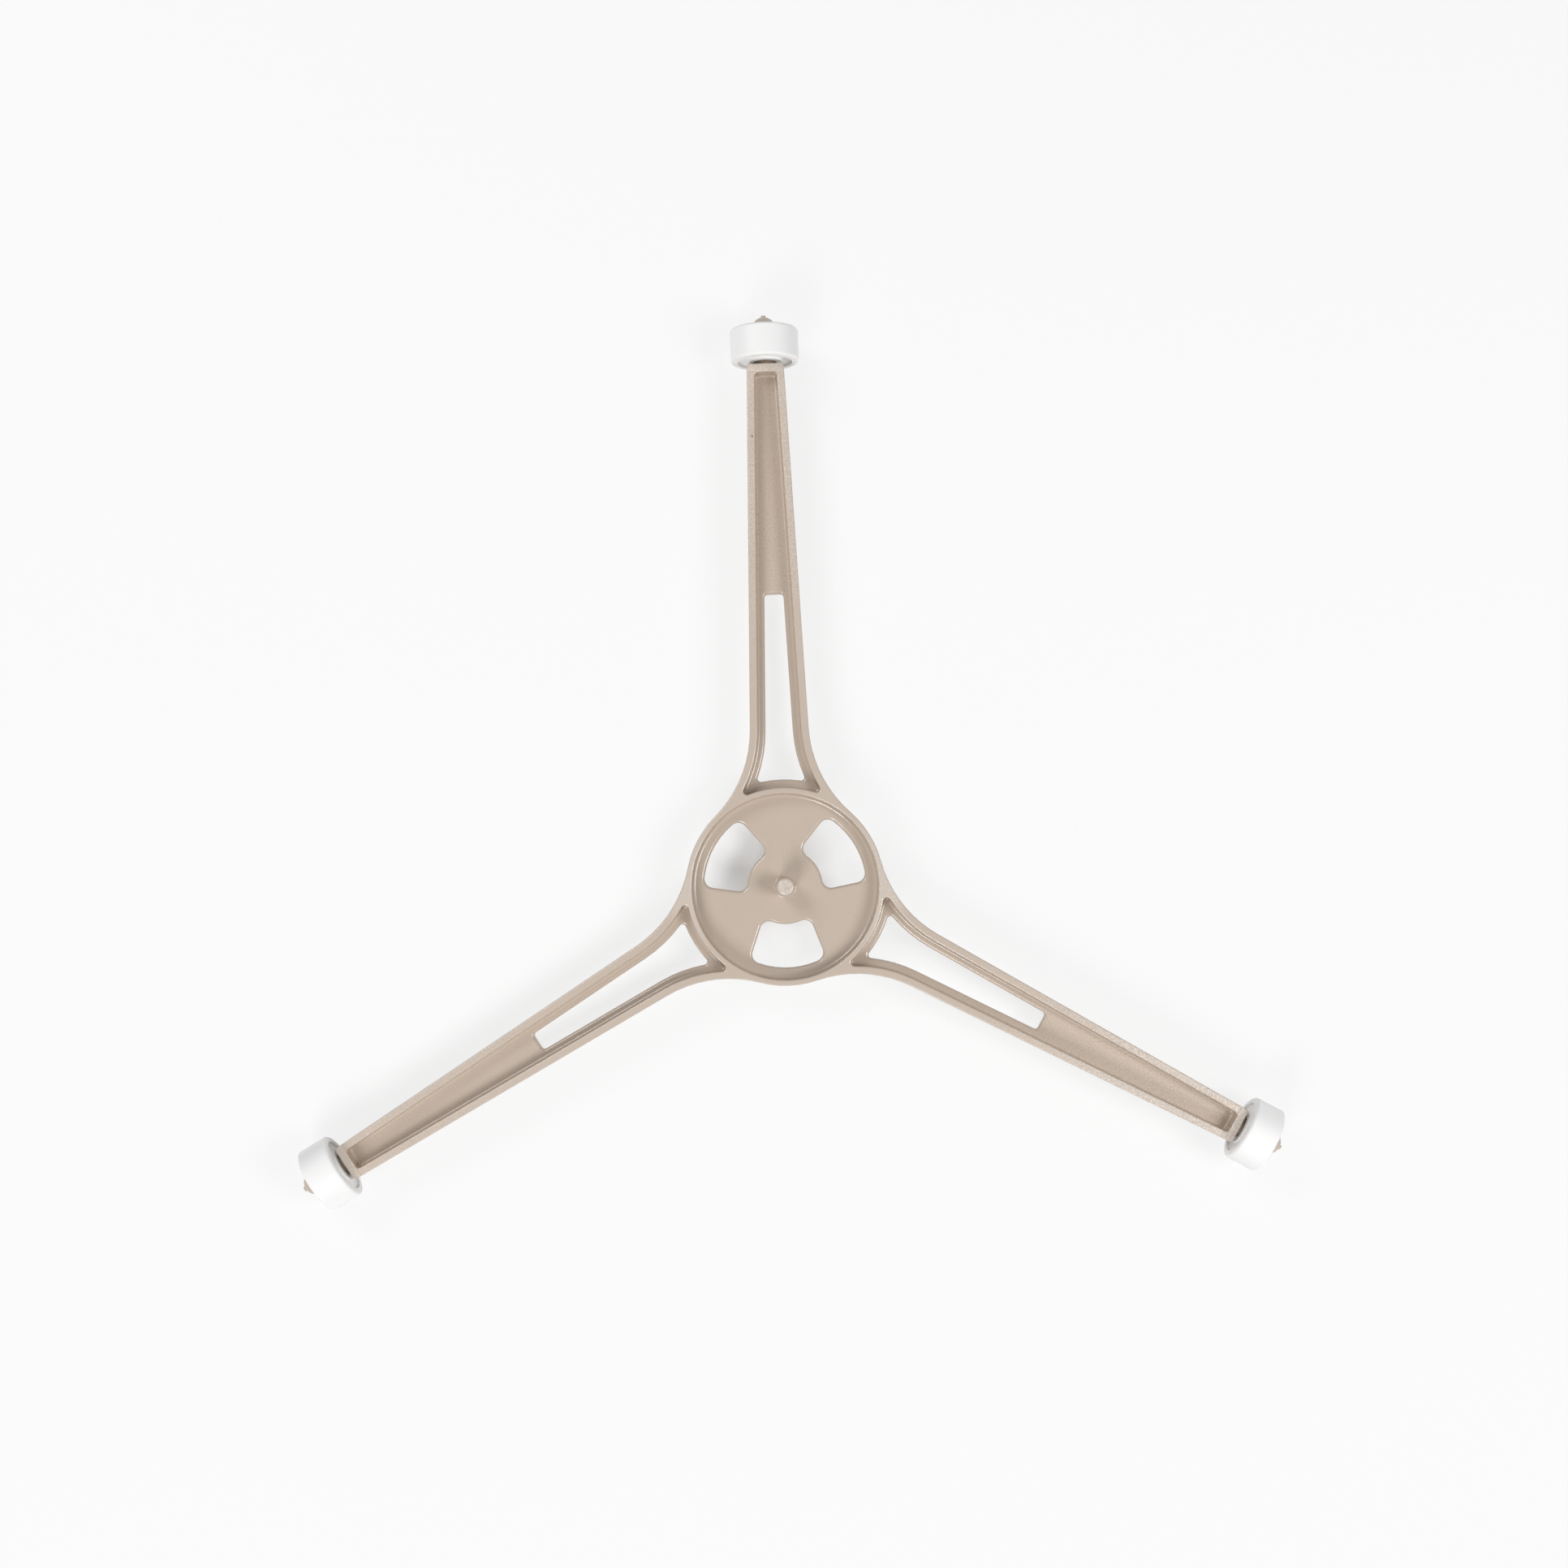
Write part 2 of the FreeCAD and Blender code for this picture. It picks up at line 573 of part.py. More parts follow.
def level_edges(height, rising=None, distance_is=None):
    """Picks sharp level edges at a height.

    rising says whether the wall at the edge has to reach above the dish floor, or has not to. distance_is
    tests the edge's distance from the hub axis.
    """
    height_now = value_of(height)

    def chosen(shape, edge):
        if not spans(edge, height_now, height_now) or not is_sharp(shape, edge):
            return False
        tops = [face.BoundBox.ZMax for face in shape.ancestorsOfType(edge, Part.Face)]
        if rising is not None and rising != (max(tops) > PLACE_TOLERANCE):
            return False
        return distance_is is None or distance_is(hub_distance(edge))

    return chosen


# The pieces

def build_carrier():
    """The moulded hub and its three arms with their axles."""
    body = document.addObject("PartDesign::Body", "carrier")
    body.Label = "carrier"

    outline = new_sketch(body, "arm_outline", FRAME_BOTTOM)
    draw_arm(outline, "0", "sizes.arm_reach", "sizes.hub_radius", joins_hub=True)
    arm = add_pad(body, "arm", outline, "sizes.frame_height")
    channel_outline = new_sketch(body, "channel_outline", FRAME_TOP)
    draw_arm(channel_outline, "sizes.rim_width", CHANNEL_END, "sizes.hub_radius")
    channel = add_pocket(body, "channel", channel_outline, FRAME_TOP)
    slot_outline = new_sketch(body, "slot_outline", DISH_FLOOR)
    draw_arm(slot_outline, SLOT_INSET, "sizes.slot_end_radius", SLOT_ROOT)
    slot = add_pocket(body, "slot", slot_outline, "sizes.web_thickness")
    axle_section = new_sketch(body, "axle_section", AXLE_HEIGHT, "YZ_Plane")
    draw_axle(axle_section)
    axle = add_revolution(body, "axle", axle_section)
    add_pattern(body, "arms", [arm, channel, slot, axle])

    dish_outline = new_sketch(body, "dish_outline", FRAME_TOP)
    draw_circle(dish_outline, DISH_RADIUS)
    add_pocket(body, "dish", dish_outline, FRAME_TOP)
    window_outline = new_sketch(body, "window_outline", DISH_FLOOR)
    draw_window(window_outline)
    window = add_pocket(body, "window", window_outline, "sizes.web_thickness")
    add_pattern(body, "windows", [window])
    pin_outline = new_sketch(body, "pin_outline", DISH_FLOOR)
    draw_circle(pin_outline, "sizes.pin_radius")
    add_pad(body, "pin", pin_outline, "sizes.pin_height")

    dish = value_of(DISH_RADIUS)

    def at_pin(distance):
        return distance < size("pin_radius") + PLACE_TOLERANCE

    def at_dish_wall(distance):
        return same(distance, dish)

    def in_dish(distance):
        return distance < dish

    def in_arms(distance):
        return distance > dish + PLACE_TOLERANCE

    add_fillet(body, "arm_corners", "arm_corner_radius", upright_corners(FRAME_BOTTOM, FRAME_TOP))
    add_fillet(body, "channel_corners", "channel_corner_radius", upright_corners(DISH_FLOOR, FRAME_TOP))
    add_fillet(body, "window_corners", "window_corner_radius", upright_corners(FRAME_BOTTOM, DISH_FLOOR, in_dish))
    add_fillet(body, "slot_corners", "slot_corner_radius", upright_corners(FRAME_BOTTOM, DISH_FLOOR, in_arms))
    add_fillet(body, "dish_foot", "dish_fillet_radius", level_edges(DISH_FLOOR, True, at_dish_wall))
    add_fillet(body, "pin_foot", "pin_foot_radius", level_edges(DISH_FLOOR, True, at_pin))
    add_fillet(body, "channel_feet", "floor_fillet_radius", level_edges(DISH_FLOOR, True, in_arms))
    add_fillet(body, "opening_edges", "opening_edge_radius", level_edges(DISH_FLOOR, False))
    add_fillet(body, "rim_edges", "rim_edge_radius", level_edges(FRAME_TOP))
    add_fillet(body, "under_edges", "under_edge_radius", level_edges(FRAME_BOTTOM, True))
    add_fillet(body, "pin_top", "pin_top_radius", level_edges("sizes.pin_height"))

    cap_outline = new_sketch(body, "end_cap_outline", f"{FRAME_TOP} - sizes.end_cap_root")
    draw_end_cap(cap_outline)
    cap = add_pad(body, "end_cap", cap_outline, "sizes.end_cap_root + sizes.end_cap_rise")
    add_pattern(body, "end_caps", [cap])
    add_fillet(body, "end_cap_edges", "end_cap_edge_radius", level_edges(CAP_TOP))
    return body


def build_wheel(number):
    """The roller wheel on one arm's axle."""
    body = document.addObject("PartDesign::Body", f"wheel_{number}")
    body.Label = f"wheel_{number}"
    section = new_sketch(body, f"wheel_{number}_section", AXLE_HEIGHT, "YZ_Plane")
    draw_wheel(section)
    add_revolution(body, f"wheel_{number}_turned", section)
    tread = value_of(WHEEL_RADIUS)

    def tread_edge(shape, edge):
        return isinstance(edge.Curve, Part.Circle) and same(edge.Curve.Radius, tread)

    add_fillet(body, f"wheel_{number}_edges", "wheel_edge_radius", tread_edge)
    turn = FreeCAD.Rotation(FreeCAD.Vector(0, 0, 1), 360 * (number - 1) / ARM_COUNT)
    body.Placement = FreeCAD.Placement(FreeCAD.Vector(), turn)
    document.recompute()
    return body


def check_and_write(pieces):
    """Stops at any failed object or bad solid, and writes one STEP file for each piece."""
    document.recompute()
    for item in document.Objects:
        if "Invalid" in item.State or "Error" in item.State:
            raise RuntimeError(f"{item.Label} failed: {item.State}")
    os.makedirs("parts", exist_ok=True)
    for piece in pieces:
        shape = piece.Shape
        if shape.isNull() or not shape.isValid() or len(shape.Solids) != 1:
            raise RuntimeError(f"{piece.Label} isn't one good solid")
        shape.exportStep(f"parts/{piece.Label}.step")


fill_sheet()
carrier = build_carrier()
wheels = [build_wheel(number) for number in range(1, ARM_COUNT + 1)]
check_and_write([carrier] + wheels)
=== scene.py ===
"""Microwave roller ring: the finish of its carrier and wheels, and a plain stage to show it on.

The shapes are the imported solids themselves, so this file gives them their moulded plastics, the light,
the floor and the camera. Lengths are in metres, and in the materials in millimetres.
"""

import math

import bpy
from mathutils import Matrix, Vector


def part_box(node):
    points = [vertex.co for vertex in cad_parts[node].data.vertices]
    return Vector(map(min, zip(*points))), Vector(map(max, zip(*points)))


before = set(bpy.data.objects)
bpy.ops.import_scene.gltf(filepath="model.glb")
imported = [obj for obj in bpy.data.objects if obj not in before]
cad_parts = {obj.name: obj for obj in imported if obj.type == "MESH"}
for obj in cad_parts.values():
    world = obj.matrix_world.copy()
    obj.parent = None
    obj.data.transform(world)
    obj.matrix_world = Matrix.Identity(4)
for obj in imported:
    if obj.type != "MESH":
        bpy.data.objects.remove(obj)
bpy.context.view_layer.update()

bl_info = {
    "name": "Microwave Roller Ring",
    "version": (1, 0, 0),
    "blender": (4, 5, 0),
    "location": "3D View > Sidebar > Roller Ring",
    "description": "Finishes the roller ring's carrier and wheels, and sets the stage round it",
    "category": "Object",
}

CARRIER = "carrier"
WHEELS = ("wheel_1", "wheel_2", "wheel_3")

# Where the wheels stand
FLOOR_LEVEL = min(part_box(wheel)[0][2] for wheel in WHEELS)

# Millimetres in a metre
MM = 1000.0

# Heights above the dish floor, in millimetres
RIM_TOP = 3.1
PIN_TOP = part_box(CARRIER)[1][2] * MM

# Distances from the hub axis, in millimetres
PIN_RADIUS = 2.0
DISH_RADIUS = 19.2
CAP_START = 105.05
ARM_END = 106.8
WHEEL_START = 107.5

# Radius of the round at the foot of the dish's wall, in millimetres
DISH_FOOT = 0.9

# Where a finish starts and where it is full, in millimetres from the hub axis
HUB_WEAR = (26.0, 22.0)
ARM_TINT = (24.0, 40.0)
ARM_GRAIN = (35.0, 85.0)
FLOW_MARKS = (DISH_RADIUS - 1.0, 10.0)

# The same along one axis, in millimetres: the coarser and pitted sides, the worn sides and the flow's side
COARSE_ALONG_X = (-45.0, 55.0)
PITTED_ALONG_X = (14.0, 19.0)
WEAR_ALONG_Y = (16.0, 6.0)
FLOW_ALONG_Y = (1.0, 5.0)

# The floor's shade under the hub, and where the floor whitens fully, in millimetres
SHADE_CENTRE = (-3.0, 4.0, 0.0)
SHADE_EDGE = (0.25 * DISH_RADIUS, 0.85 * DISH_RADIUS)
FLOOR_WHITENS = (250.0, 700.0)

WHITE = (1.0, 1.0, 1.0, 1.0)

# How bright the whitened floor looks, where 1 is white
FLOOR_BRIGHTNESS = 0.975

# The camera's sensor, in millimetres, and how near it can see, in metres
SENSOR_WIDTH = 36.0
NEAREST_SEEN = 0.01


# Shader nodes

class Wire:
    """A node's output, on which arithmetic adds Math nodes."""

    def __init__(self, sheet, socket):
        self.sheet = sheet
        self.socket = socket

    def output(self, name):
        """Another output of the same node."""
        return Wire(self.sheet, self.sheet.socket(self.socket.node.outputs, name))

    def parts(self):
        """The three parts of a vector or colour."""
        split = self.sheet.add("ShaderNodeSeparateXYZ", {}, {"Vector": self})
        return [split.output(axis) for axis in "XYZ"]

    def math(self, operation, first, second=0.0):
        return self.sheet.add("ShaderNodeMath", {"operation": operation}, {0: first, 1: second})

    def __add__(self, other):
        return self.math("ADD", self, other)

    def __radd__(self, other):
        return self.math("ADD", other, self)

    def __sub__(self, other):
        return self.math("SUBTRACT", self, other)

    def __rsub__(self, other):
        return self.math("SUBTRACT", other, self)

    def __mul__(self, other):
        return self.math("MULTIPLY", self, other)

    def __rmul__(self, other):
        return self.math("MULTIPLY", other, self)

    def __rtruediv__(self, other):
        return self.math("DIVIDE", other, self)

    def __abs__(self):
        return self.math("ABSOLUTE", self)

    def rise(self, low, high):
        """Smooth from 0 at the low value to 1 at the high one; falls where low is the larger."""
        if low > high:
            return 1.0 - self.rise(high, low)
        settings = {"interpolation_type": "SMOOTHSTEP"}
        inputs = {"Value": self, "From Min": low, "From Max": high}
        return self.sheet.add("ShaderNodeMapRange", settings, inputs)


class NodeSheet:
    """The nodes of one material or of the world."""

    def __init__(self, owner):
        owner.use_nodes = True
        self.tree = owner.node_tree
        self.tree.nodes.clear()

    @staticmethod
    def socket(sockets, key):
        """A socket by its number, or by name among those in use."""
        if isinstance(key, int):
            return sockets[key]
        return next(socket for socket in sockets if socket.name == key and socket.enabled)

    def add(self, kind, settings, inputs, output=0):
        """One node: its settings are set first, then the values or links of its inputs."""
        node = self.tree.nodes.new(kind)
        for name, value in settings.items():
            setattr(node, name, value)
        for key, value in inputs.items():
            socket = self.socket(node.inputs, key)
            if isinstance(value, Wire):
                self.tree.links.new(value.socket, socket)
            else:
                socket.default_value = value
        if not node.outputs:
            return None
        return Wire(self, self.socket(node.outputs, output))

    def blend(self, share, first, second, kind="MIX"):
        """A colour mixed from two."""
        settings = {"data_type": "RGBA", "blend_type": kind}
        return self.add("ShaderNodeMix", settings, {"Factor": share, "A": first, "B": second}, "Result")

    def place(self):
        """The point on the object, in millimetres in the row frame."""
        point = self.add("ShaderNodeTexCoord", {}, {}, "Object")
        return self.add("ShaderNodeVectorMath", {"operation": "SCALE"}, {0: point, "Scale": MM})

    def stretched(self, place, shares):
        """The place with each axis scaled by its own share."""
        return self.add("ShaderNodeVectorMath", {"operation": "MULTIPLY"}, {0: place, 1: shares})

    def reach(self, place):
        """How far the place is from the hub axis."""
        level = self.stretched(place, (1.0, 1.0, 0.0))
        return self.add("ShaderNodeVectorMath", {"operation": "LENGTH"}, {0: level}, "Value")

    def noise(self, place, per_mm, detail=2.0, roughness=0.5):
        """Cloudy noise, about 0.5 on average."""
        inputs = {"Vector": place, "Scale": per_mm, "Detail": detail, "Roughness": roughness}
        return self.add("ShaderNodeTexNoise", {}, inputs, "Fac")

    def specks(self, place, per_mm, share, size):
        """Small uneven specks in a share of the cells of a random grid; the size is a share of a cell."""
        ragged = self.noise(place, 6.0 * per_mm)
        cells = self.add("ShaderNodeTexVoronoi", {}, {"Vector": place, "Scale": per_mm}, "Distance")
        chance = cells.output("Color").parts()[0]
        near = (cells + 0.8 * size * (ragged - 0.5)).rise(size, 0.5 * size)
        return near * chance.rise(share, share - 0.01)

    def toned(self, tone, share):
        """A colour made lighter or darker by a share."""
        grey = self.add("ShaderNodeCombineXYZ", {}, {"X": share, "Y": share, "Z": share})
        return self.blend(1.0, tone, grey, "MULTIPLY")


def colour(rgb):
    """A colour property with its alpha, as the sockets take it."""
    return (*rgb, 1.0)


def dress(node, material):
    """Gives a CAD node the material in its only slot."""
    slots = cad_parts[node].material_slots
    if len(slots) != 1:
        raise RuntimeError(f"{node} should have one material slot")
    slots[0].material = material


# Settings

class CarrierFinish(bpy.types.PropertyGroup):
    """The carrier's beige plastic."""

    body: bpy.props.FloatVectorProperty(
        name="Body", description="Colour of the moulding", subtype="COLOR", size=3,
        min=0.0, max=1.0, default=(0.53, 0.437, 0.355),
    )
    # The pale colour of wear on the tops, also used for the painted highlights and the painted light on the
    # caps
    rim: bpy.props.FloatVectorProperty(
        name="Rims", description="Colour of the walls' worn tops", subtype="COLOR", size=3,
        min=0.0, max=1.0, default=(0.61, 0.525, 0.46),
    )
    # The pale specks are painted glints on the grain
    glint: bpy.props.FloatVectorProperty(
        name="Pale specks", description="Colour of the filler grains at the surface", subtype="COLOR", size=3,
        min=0.0, max=1.0, default=(0.75, 0.69, 0.62),
    )
    dirt: bpy.props.FloatVectorProperty(
        name="Dark specks", description="Colour of the dark specks and nicks", subtype="COLOR",
        size=3, min=0.0, max=1.0, default=(0.2, 0.14, 0.1),
    )
    # Painted shade: a dark brown for the shadowed gap between the arms' ends and the wheels
    root: bpy.props.FloatVectorProperty(
        name="Axle roots", description="Colour of the grease between the arms' ends and the wheels",
        subtype="COLOR", size=3, min=0.0, max=1.0, default=(0.14, 0.095, 0.065),
    )
    roughness: bpy.props.FloatProperty(
        name="Roughness", description="Roughness of the smooth moulded surface", subtype="FACTOR",
        min=0.0, max=1.0, default=0.2,
    )
    shine: bpy.props.FloatProperty(
        name="Shine", description="Strength of the surface's reflections", subtype="FACTOR",
        min=0.0, max=1.0, default=0.8,
    )
    grain: bpy.props.FloatProperty(
        name="Grain height", description="Height of the moulded grain", subtype="DISTANCE", unit="LENGTH",
        min=0.0, default=0.00004,
    )


class WheelFinish(bpy.types.PropertyGroup):
    """The wheels' white plastic."""

    body: bpy.props.FloatVectorProperty(
        name="Body", description="Colour of the wheels", subtype="COLOR", size=3,
        min=0.0, max=1.0, default=(0.92, 0.92, 0.915),
    )
    dust: bpy.props.FloatVectorProperty(
        name="Dust", description="Colour of the specks and scuffs", subtype="COLOR", size=3,
        min=0.0, max=1.0, default=(0.55, 0.54, 0.52),
    )
    roughness: bpy.props.FloatProperty(
        name="Roughness", description="Roughness of the wheels", subtype="FACTOR",
        min=0.0, max=1.0, default=0.5,
    )
    grain: bpy.props.FloatProperty(
        name="Grain height", description="Height of the fine grain", subtype="DISTANCE", unit="LENGTH",
        min=0.0, default=0.000012,
    )


class StageSettings(bpy.types.PropertyGroup):
    """The floor, the light and the camera."""

    floor_size: bpy.props.FloatProperty(
        name="Floor size", description="Side of the square floor", subtype="DISTANCE", unit="LENGTH",
        default=8.0,
    )
    floor_colour: bpy.props.FloatVectorProperty(
        name="Floor", description="Colour of the floor", subtype="COLOR", size=3, min=0.0, max=1.0,
        default=(0.9, 0.9, 0.9),
    )
    floor_glow: bpy.props.FloatProperty(
        name="Floor white", description="Share of plain white in what the camera sees of the floor",
        subtype="FACTOR", min=0.0, max=1.0, default=0.8,
    )
    hub_glow: bpy.props.FloatProperty(
        name="Floor white at the hub", description="The same share under the hub, where the shade is deeper",
        subtype="FACTOR", min=0.0, max=1.0, default=0.3,
    )
    sky: bpy.props.FloatProperty(
        name="Sky", description="Even light from all round", min=0.0, default=0.2,
    )
    lamp_size: bpy.props.FloatProperty(
        name="Lamp size", description="Side of each soft lamp", subtype="DISTANCE", unit="LENGTH",
        default=0.32,
    )
    lamp_distance: bpy.props.FloatProperty(
        name="Lamp distance", description="From the hub to each lamp", subtype="DISTANCE", unit="LENGTH",
        default=0.8,
    )
    right_power: bpy.props.FloatProperty(
        name="Right lamp", description="Power of the lamp", unit="POWER", min=0.0, default=3.0,
    )
    right_turn: bpy.props.FloatProperty(
        name="Right lamp's turn", description="Its direction about the hub axis, from +X", subtype="ANGLE",
        unit="ROTATION", default=math.radians(-15),
    )
    right_height: bpy.props.FloatProperty(
        name="Right lamp's elevation", description="How far it is above the horizon", subtype="ANGLE",
        unit="ROTATION", default=math.radians(47),
    )
    near_power: bpy.props.FloatProperty(
        name="Lower left lamp", description="Power of the lamp", unit="POWER", min=0.0, default=2.9,
    )
    near_turn: bpy.props.FloatProperty(
        name="Lower left lamp's turn", description="Its direction about the hub axis, from +X",
        subtype="ANGLE", unit="ROTATION", default=math.radians(240),
    )
    near_height: bpy.props.FloatProperty(
        name="Lower left lamp's elevation", description="How far it is above the horizon", subtype="ANGLE",
        unit="ROTATION", default=math.radians(40),
    )
    far_power: bpy.props.FloatProperty(
        name="Upper left lamp", description="Power of the lamp", unit="POWER", min=0.0, default=2.0,
    )
    far_turn: bpy.props.FloatProperty(
        name="Upper left lamp's turn", description="Its direction about the hub axis, from +X",
        subtype="ANGLE", unit="ROTATION", default=math.radians(135),
    )
    far_height: bpy.props.FloatProperty(
        name="Upper left lamp's elevation", description="How far it is above the horizon", subtype="ANGLE",
        unit="ROTATION", default=math.radians(40),
    )
    camera_place: bpy.props.FloatVectorProperty(
        name="Camera place", description="Where the camera stands", subtype="TRANSLATION", unit="LENGTH",
        size=3, default=(-0.00395869, 0.00471559, 0.40317446),
    )
    camera_turn: bpy.props.FloatVectorProperty(
        name="Camera turn", description="How the camera is turned", subtype="EULER", unit="ROTATION", size=3,
        default=(math.radians(-1.648413), math.radians(-1.743782), math.radians(-2.183533)),
    )
    camera_lens: bpy.props.FloatProperty(
        name="Camera lens", description="Focal length, in millimetres", default=44.7205,
    )
    camera_shift: bpy.props.FloatVectorProperty(
        name="Camera shift", description="How far the picture is cut off-centre", size=2,
        default=(-0.025859, 0.087174),
    )


# Materials

def dish_facing(sheet, place):
    """Which way the surface faces, worked out at the dish's foot, where the mesh shines unevenly."""
    x, y, z = place.parts()
    reach = sheet.reach(place)

    # From the surface towards the middle of the foot's round
    inner = DISH_RADIUS - DISH_FOOT
    inward = inner / reach - 1.0
    towards = sheet.add("ShaderNodeCombineXYZ", {}, {"X": x * inward, "Y": y * inward, "Z": DISH_FOOT - z})
    unit = sheet.add("ShaderNodeVectorMath", {"operation": "NORMALIZE"}, {0: towards})
    turned = {"vector_type": "NORMAL", "convert_from": "OBJECT", "convert_to": "WORLD"}
    hollow = sheet.add("ShaderNodeVectorTransform", turned, {"Vector": unit})

    # The foot itself, with little to spare, and the mesh's own facing elsewhere
    plain = sheet.add("ShaderNodeNewGeometry", {}, {}, "Normal")
    across = reach.rise(inner - 0.02, inner + 0.02) * reach.rise(DISH_RADIUS + 0.1, DISH_RADIUS + 0.05)
    upright = z.rise(-0.3, -0.2) * z.rise(DISH_FOOT + 0.05, DISH_FOOT - 0.05)
    inputs = {"Factor": across * upright, "A": plain, "B": hollow}
    return sheet.add("ShaderNodeMix", {"data_type": "VECTOR"}, inputs, "Result")


def beige_plastic(finish):
    """Moulded beige plastic: satin at the hub, grainy on the outer arms, with wear on the rims and dark
    nicks, painted highlights on the rims' edges, the caps' lips and the grain, painted light on the caps and
    painted shade at the axles' roots.
    """
    material = bpy.data.materials.new("beige_moulded_plastic")
    sheet = NodeSheet(material)
    place = sheet.place()
    x, y, z = place.parts()
    up = sheet.add("ShaderNodeTexCoord", {}, {}, "Normal").parts()[2]
    reach = sheet.reach(place)
    clouds = sheet.noise(place, per_mm=0.12, detail=3.0)
    fine = sheet.noise(place, per_mm=2.4, detail=3.0, roughness=0.7)
    grit = sheet.noise(place, per_mm=2.6, detail=2.0, roughness=0.65)

    # The walls' tops, and their rounded edges, where a pale line is a painted highlight
    high = z.rise(RIM_TOP - 0.5, RIM_TOP - 0.15)
    top = high * up.rise(0.8, 0.97)
    painted_edge_highlight = high * up.rise(0.2, 0.5) * up.rise(0.98, 0.85)

    # The rough ends of the pin and of the arms, the axles' roots, darkened as painted shade, and the caps of
    # the arms, lightened as painted light
    pin_end = reach.rise(0.85 * PIN_RADIUS, 0.6 * PIN_RADIUS) * z.rise(PIN_TOP - 0.5, PIN_TOP - 0.05)
    ends = reach.rise(*ARM_GRAIN) * (0.3 + 0.8 * x.rise(*COARSE_ALONG_X))
    coarse = ends.math("MAXIMUM", ends, pin_end)
    # Painted shade in the gap between the arms' ends and the wheels
    root = reach.rise(ARM_END + 0.02, ARM_END + 0.1) * reach.rise(WHEEL_START + 0.5, WHEEL_START)
    # Painted light: the caps made paler where the wheels shade them
    painted_cap_light = z.rise(RIM_TOP + 0.03, RIM_TOP + 0.1) * reach.rise(CAP_START - 1.0, CAP_START)
    # Painted highlight: a pale line along the caps' rounded inner lips
    painted_cap_lip_highlight = painted_cap_light * reach.rise(CAP_START + 0.35, CAP_START + 0.1)

    # Colour: the body, with wear on its tops, painted highlights on the rims' edges and the caps' lips, and
    # painted light on the caps
    scuffs = reach.rise(*HUB_WEAR) * abs(y).rise(*WEAR_ALONG_Y)
    worn_and_lit = top * (0.12 + 0.7 * scuffs + 0.35 * ends) + 0.3 * painted_edge_highlight + 0.5 * painted_cap_light + 0.7 * painted_cap_lip_highlight
    tone = sheet.blend(worn_and_lit, colour(finish.body), colour(finish.rim))

    # Colour: clouds, grain and flow marks
    streaks = sheet.stretched(place, (0.9, 0.09, 0.9))
    flow = sheet.noise(streaks, per_mm=1.0, detail=3.0, roughness=0.6)
    marks = reach.rise(*FLOW_MARKS) * y.rise(*FLOW_ALONG_Y) * (flow - 0.5)
    grainy = (0.1 + 0.7 * coarse) * (fine - 0.5)
    mottle = 1.0 + 0.02 * reach.rise(*ARM_TINT) + 0.06 * (clouds - 0.5) + grainy + 0.12 * marks
    tone = sheet.toned(tone, mottle)

    # Colour: pale specks painted as glints on the grain, dark nicks, and painted shade at the axles' roots
    pitted = scuffs * x.rise(*PITTED_ALONG_X) * high
    # Painted highlight: pale glints on the grain, most on the coarse ends and the pitted rim
    painted_glints = grit.rise(0.52, 0.64) * (0.04 + 0.9 * coarse + 0.5 * pitted) * (0.25 + 0.75 * high)
    tone = sheet.blend(painted_glints, tone, colour(finish.glint))
    nicks = sheet.specks(place, per_mm=0.3, share=0.07, size=0.1) * (0.35 + 0.4 * high)
    tone = sheet.blend(nicks, tone, colour(finish.dirt))
    tone = sheet.blend(root, tone, colour(finish.root))

    # Gloss and grain
    gloss = finish.roughness + 0.16 * coarse + 0.15 * (fine - 0.5) + 0.08 * (clouds - 0.5) + 0.2 * root
    height = (0.1 + 0.9 * coarse) * (fine + 0.6 * grit) - 0.8 * nicks
    bump = {"Height": height, "Distance": finish.grain, "Strength": 1.0, "Normal": dish_facing(sheet, place)}
    grain = sheet.add("ShaderNodeBump", {}, bump)
    plastic = sheet.add(
        "ShaderNodeBsdfPrincipled", {},
        {
            "Base Color": tone, "Roughness": gloss, "Normal": grain,
            "IOR": 1.5, "Specular IOR Level": finish.shine,
        },
    )
    sheet.add("ShaderNodeOutputMaterial", {}, {"Surface": plastic})
    return material


def white_plastic(finish):
    """Moulded white plastic with a fine grain and a little dust."""
    material = bpy.data.materials.new("white_moulded_plastic")
    sheet = NodeSheet(material)
    place = sheet.place()
    clouds = sheet.noise(place, per_mm=0.3, detail=2.0)
    fine = sheet.noise(place, per_mm=5.0, detail=3.0, roughness=0.6)
    dust = sheet.specks(place, per_mm=0.8, share=0.06, size=0.14) * 0.5
    tone = sheet.blend(dust, colour(finish.body), colour(finish.dust))
    gloss = finish.roughness + 0.1 * (clouds - 0.5) + 0.1 * (fine - 0.5)
    bump = {"Height": fine, "Distance": finish.grain, "Strength": 1.0}
    grain = sheet.add("ShaderNodeBump", {}, bump)
    plastic = sheet.add(
        "ShaderNodeBsdfPrincipled", {},
        {"Base Color": tone, "Roughness": gloss, "Normal": grain, "IOR": 1.48},
    )
    sheet.add("ShaderNodeOutputMaterial", {}, {"Surface": plastic})
    return material


def seen_directly(sheet):
    """1 where the camera, a reflection or a clear body looks, and 0 where light is gathered."""
    path = sheet.add("ShaderNodeLightPath", {}, {}, "Is Camera Ray")
    seen = path + path.output("Is Glossy Ray") + path.output("Is Transmission Ray")
    return seen.math("MINIMUM", seen, 1.0)


